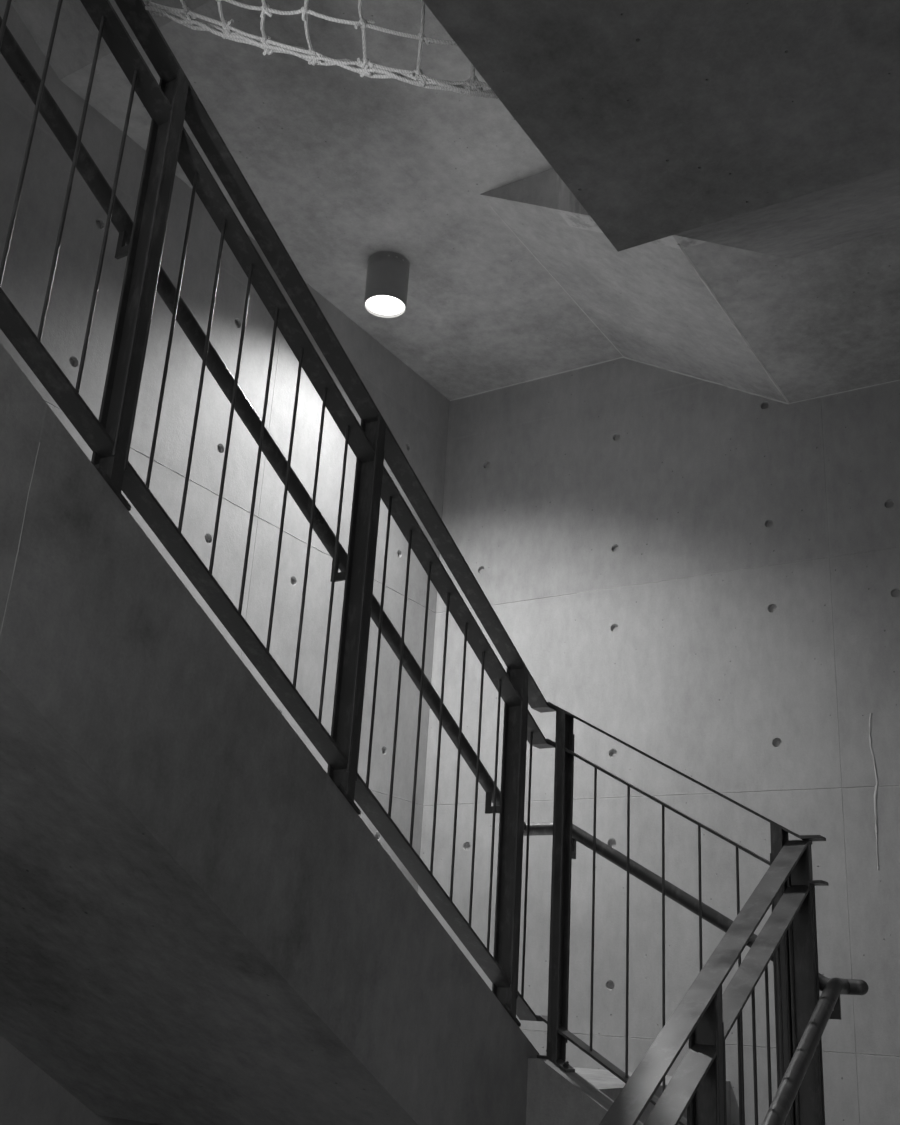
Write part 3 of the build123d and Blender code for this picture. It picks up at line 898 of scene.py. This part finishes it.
def rope_net(material, hooks):
    """The net: its strands, knots, edge ropes, ties on the railing and eyes on the slab."""
    chance = random.Random(11)
    knots = net_knots(chance)
    strands = []
    for (column, row), here in knots.items():
        for after in ((column + 1, row), (column, row + 1)):
            ends = in_well(here, knots[after]) if after in knots else None
            if ends:
                strands.append(ends)
    margin = 0.012
    inside = [place for place in knots.values()
              if NET_LEFT_X + margin < place.x < NET_RIGHT_X - margin
              and place.y > NET_END_Y + margin]

    def on_side(side):
        """Where strands meet one side of the well, not closer than a hand's width."""
        found = []
        touching = (end for ends in strands for end in ends if abs(end.x - side) < 0.0005)
        for place in sorted(touching, key=lambda end: -end.y):
            if not found or found[-1].y - place.y > 0.07:
                found.append(place)
        return found

    def strand(shape, start, end, sag):
        steps = 5
        bow = Vector((chance.uniform(-0.006, 0.006), chance.uniform(-0.006, 0.006), -sag))
        path = [start.lerp(end, step / steps) + bow * math.sin(math.pi * step / steps)
                for step in range(steps + 1)]
        tube(shape, path, ROPE_RADIUS, 6)

    def knot(shape, centre, size):
        """A lump of two crossing loops."""
        for turned in range(2):
            tilt = Vector((chance.uniform(-1, 1), chance.uniform(-1, 1),
                           chance.uniform(0.2, 1))).normalized()
            side = tilt.orthogonal().normalized()
            side.rotate(Matrix.Rotation(turned * 1.3, 3, tilt))
            up = tilt.cross(side)
            loop = [centre + size * (math.cos(turn) * side + 0.75 * math.sin(turn) * up)
                    + tilt * size * 0.35 * math.sin(2 * turn) for turn in turns(10)]
            tube(shape, loop, ROPE_RADIUS * 0.92, 6, closed=True)

    def tails(shape, centre):
        """The two short ends that a knot leaves."""
        for _ in range(2):
            way = Vector((chance.uniform(-1, 1), chance.uniform(-1, 1),
                          chance.uniform(-0.9, 0.3))).normalized()
            reach = chance.uniform(0.014, 0.023)
            bend = way.orthogonal().normalized() * 0.003
            path = [centre + way * reach * share + bend * math.sin(math.pi * share)
                    for share in (0.2, 0.5, 0.8, 1.0)]
            tube(shape, path, ROPE_RADIUS * 0.95, 6)

    def mesh_ropes(shape):
        for start, end in strands:
            strand(shape, start, end, chance.uniform(0.002, 0.01))
        for centre in inside:
            knot(shape, centre, chance.uniform(0.0064, 0.008))
            tails(shape, centre)

    def end_ropes(shape):
        """Three ropes side by side along each end of the net."""
        steps = 36
        width = NET_RIGHT_X - NET_LEFT_X
        places = [NET_LEFT_X + width * step / steps for step in range(steps + 1)]
        for number, (back, drop) in enumerate(((0.012, 0.004), (0.02, 0.011), (0.006, 0.015))):
            for line, way in ((net_edge, 1), (lambda x: NET_END_Y, -1)):
                path = [Vector((x, line(x) + way * back + 0.004 * math.sin(54 * x + number * 2.1),
                                net_height(x) - drop - 0.004 * math.sin(71 * x + number)))
                        for x in places]
                tube(shape, path, ROPE_RADIUS * 1.05, 8)

    def side_ropes(shape):
        steps = 24
        for side in (NET_LEFT_X, NET_RIGHT_X):
            length = net_edge(side) - NET_END_Y
            path = [Vector((side, NET_END_Y + length * step / steps, net_height(side)))
                    for step in range(steps + 1)]
            tube(shape, path, ROPE_RADIUS * 1.25, 8)

    def edge_knots(shape):
        inset = 0.02
        for (column, row), place in knots.items():
            if row == 0 and NET_LEFT_X + inset < place.x < NET_RIGHT_X - inset:
                centre = place + Vector((0, 0.012, -0.009))
                knot(shape, centre, 0.01)
                tails(shape, centre)

    def edge_ropes(shape):
        end_ropes(shape)
        side_ropes(shape)
        edge_knots(shape)

    def ties(shape):
        for place in on_side(NET_LEFT_X):
            centre = place + Vector((-0.017, 0, 0.002))
            loop = [centre + Vector((0.021 * math.cos(turn), 0.011 * math.sin(turn),
                                     0.004 * math.sin(3 * turn))) for turn in turns(14)]
            tube(shape, loop, 0.0026, 6, closed=True)

    def eyes(shape):
        reach = 0.0105
        for place in on_side(NET_RIGHT_X):
            centre = place + Vector((0.004, 0, 0))
            loop = [centre + Vector((reach * math.cos(turn), 0, reach * math.sin(turn)))
                    for turn in turns(16)]
            tube(shape, loop, 0.002, 8, closed=True)
            plate = Vector((WELL_X - 0.0002, centre.y, centre.z))
            profile = ((0, 0), (0, 0.012), (0.0022, 0.011), (0.003, 0))
            lathe(shape, profile, plate, (-1, 0, 0), 16)

    piece("net_mesh", mesh_ropes, material, smooth=60, stands_for=("safety_net",))
    piece("net_edge_ropes", edge_ropes, material, smooth=60)
    piece("net_ties", ties, material, smooth=60)
    piece("net_eyes", eyes, hooks, smooth=40)


# Cement fins and seams
def seams(material):
    """The raised crack, and the fins of cement where pieces of formwork met."""
    chance = random.Random(5)

    def crack(shape):
        ridge(shape, [(x, END_Y, z) for x, z in CRACK], (0, -1, 0), 0.011, 0.0035, chance, 0.5)

    def fins(shape):
        level = FIRST_JOINT_Z + 3 * PANEL_HEIGHT
        side, near = INNER_X - 0.001, END_Y - 0.001
        right, outward, drop = (1, 0, 0), (0, -1, 0), (-0.25, 0, -1)
        corner = Vector((0, -1, -1)).normalized()
        high_left, high_right = (-side, near, HIGH_SEAM_Z), (LEFT_CREASE_X, near, HIGH_SEAM_Z)
        low_left, low_right = (RIGHT_CREASE_X, near, LOW_SEAM_Z), (side, near, LOW_SEAM_Z)
        for points, normal, width, height in (
                ([(-WELL_X, y, z) for y, z in STRING_FIN], right, 0.003, 0.001),
                ([(-INNER_X, 0.75, level), (-INNER_X, 2.05, level)], right, 0.0045, 0.0016),
                ([(-0.9, END_Y, level), (-0.05, END_Y, level)], outward, 0.0035, 0.001),
                ([high_left, high_right], corner, 0.012, 0.003),
                ([high_right, low_left], corner, 0.015, 0.005),
                ([low_left, low_right], corner, 0.008, 0.002),
                ([(LEFT_CREASE_X, CREASE_START_Y, HIGH_CREASE_Z),
                  (LEFT_CREASE_X, near, HIGH_CREASE_Z)], drop, 0.009, 0.0016),
                ([(RIGHT_CREASE_X, CREASE_START_Y, LOW_CREASE_Z),
                  (RIGHT_CREASE_X, near, LOW_CREASE_Z)], drop, 0.011, 0.003)):
            ridge(shape, points, normal, width, height, chance)

    piece("wall_crack", crack, material)
    piece("string_fins", fins, material)


def dress_nodes():
    """Materials for every CAD node that shows, and rounded edges on its bars."""
    cast = concrete("cast_concrete", 0.34, clouds=0.14, blotches=0.05, mottling=0.12)
    marked = {
        "main_flight_string": concrete("stained_concrete", 0.34, clouds=0.12, blotches=0.13,
                                       extra=string_marks, mottling=0.1),
        # Painted light on part of this string's face over the well, with real water runs
        "upper_cross_flight_string": concrete("painted_light_dripped_concrete", 0.34, clouds=0.14,
                                              blotches=0.05, extra=well_face_light_and_drips,
                                              mottling=0.12),
    }
    rail = steel("railing_paint", 0.05, 0.36, 0.07)
    paint = lamp_paint()
    finishes = {"railing_steel": rail, "handrail_steel": steel("handrail_paint", 0.05, 0.34, 0.04),
                "lamp_body": paint, "lamp_lens": lens_glow()}
    for name, node in nodes.items():
        slot = node.material_slots[0].material.name.split(".")[0]
        node.material_slots[0].material = finishes.get(slot) or marked.get(name, cast)
        if name.endswith("_top_rail"):
            soften(node)
    return rail, paint


# Lights and floor
def light(name, kind, place, power):
    """A light that the camera doesn't see."""
    data = bpy.data.lights.new(name, kind)
    data.energy = power
    made = bpy.data.objects.new(name, data)
    made.location = place
    made.visible_camera = False
    scene.collection.objects.link(made)
    return made


def aim(made, target):
    made.rotation_euler = (Vector(target) - made.location).to_track_quat("-Z", "Y").to_euler()


def box_light(name, place, target, size, power, spread=180, glossy=False):
    """A flat soft light, aimed at a point."""
    made = light(name, "AREA", place, power)
    aim(made, target)
    made.data.shape = "RECTANGLE"
    made.data.size, made.data.size_y = size
    made.data.spread = math.radians(spread)
    made.visible_glossy = glossy


def spot_light(name, place, power, angle, blend, radius):
    """A round light with a soft cut-off."""
    made = light(name, "SPOT", place, power)
    made.data.spot_size = math.radians(angle)
    made.data.spot_blend = blend
    made.data.shadow_soft_size = radius
    return made


def lamp_light():
    """The lamp's own light: a wide downlight, evened out close to the lamp."""
    made = spot_light("lamp_light", (LAMP_X, LAMP_Y, LAMP_FOOT - 0.004), 284, 144, 0.66, 0.06)
    made.rotation_euler = (0, math.radians(7), 0)
    made.data.use_nodes = True
    tree = made.data.node_tree
    falloff = tree.nodes.new("ShaderNodeLightFalloff")
    falloff.inputs["Strength"].default_value = 1.0
    falloff.inputs["Smooth"].default_value = 1.45
    tree.links.new(falloff.outputs["Quadratic"], tree.nodes["Emission"].inputs["Strength"])


def surroundings():
    """A plain pale world, brighter where it is seen, mirrored or seen through."""
    world = bpy.data.worlds.new("studio")
    world.use_nodes = True
    scene.world = world
    tree = world.node_tree
    background = tree.nodes["Background"]
    background.inputs["Color"].default_value = (1, 1, 1, 1)
    ray = tree.nodes.new("ShaderNodeLightPath")
    seen = ray.outputs["Is Camera Ray"]
    for also in ("Is Glossy Ray", "Is Transmission Ray"):
        either = tree.nodes.new("ShaderNodeMath")
        either.operation = "MAXIMUM"
        tree.links.new(seen, either.inputs[0])
        tree.links.new(ray.outputs[also], either.inputs[1])
        seen = either.outputs[0]
    strength = tree.nodes.new("ShaderNodeMapRange")
    strength.inputs["To Min"].default_value = 0.44
    strength.inputs["To Max"].default_value = 0.85
    tree.links.new(seen, strength.inputs["Value"])
    tree.links.new(strength.outputs["Result"], background.inputs["Strength"])


def lights():
    """Soft boxes outside, and the lamp, two boxes and a spot inside."""
    for name, place, power in (("left_box", (-9.0, 0.0, 3.9), 260),
                               ("right_box", (9.0, 0.0, 3.9), 260),
                               ("back_box", (0.0, 10.0, 3.9), 300)):
        box_light(name, place, (0.0, 0.0, 3.3), (5.0, 5.0), power)
    box_light("hall_box", (0.9, -2.6, 3.1), (0.6, -1.0, 0.2), (1.2, 0.8), 12, glossy=True)
    box_light("bounce_box", (-1.05, 2.1, 1.8), (-1.0, 1.9, 5.0), (1.0, 1.2), 5, spread=110)
    net_spot = spot_light("net_spot", (0.15, -1.3, 1.9), 65, 20, 0.5, 0.12)
    aim(net_spot, (-0.05, 0.05, 3.45))
    net_spot.visible_glossy = False
    lamp_light()


def stage():
    """The floor."""
    reach = 40
    mesh = bpy.data.meshes.new("floor")
    mesh.from_pydata([(-reach, -reach, 0), (reach, -reach, 0), (reach, reach, 0),
                      (-reach, reach, 0)], [], [(0, 1, 2, 3)])
    link("floor", mesh, pale_floor())


camera()
rail_paint, lamp_coat = dress_nodes()
walls()
lamp_details(lamp_coat)
slim_rods([name for name in nodes if name.endswith("_railing")], rail_paint)
foot_bolts(rail_paint)
rope_net(rope(), rail_paint)
seams(concrete("cement_fins", 0.5, clouds=0.03))
surroundings()
lights()
stage()
scene.view_settings.view_transform = "Standard"
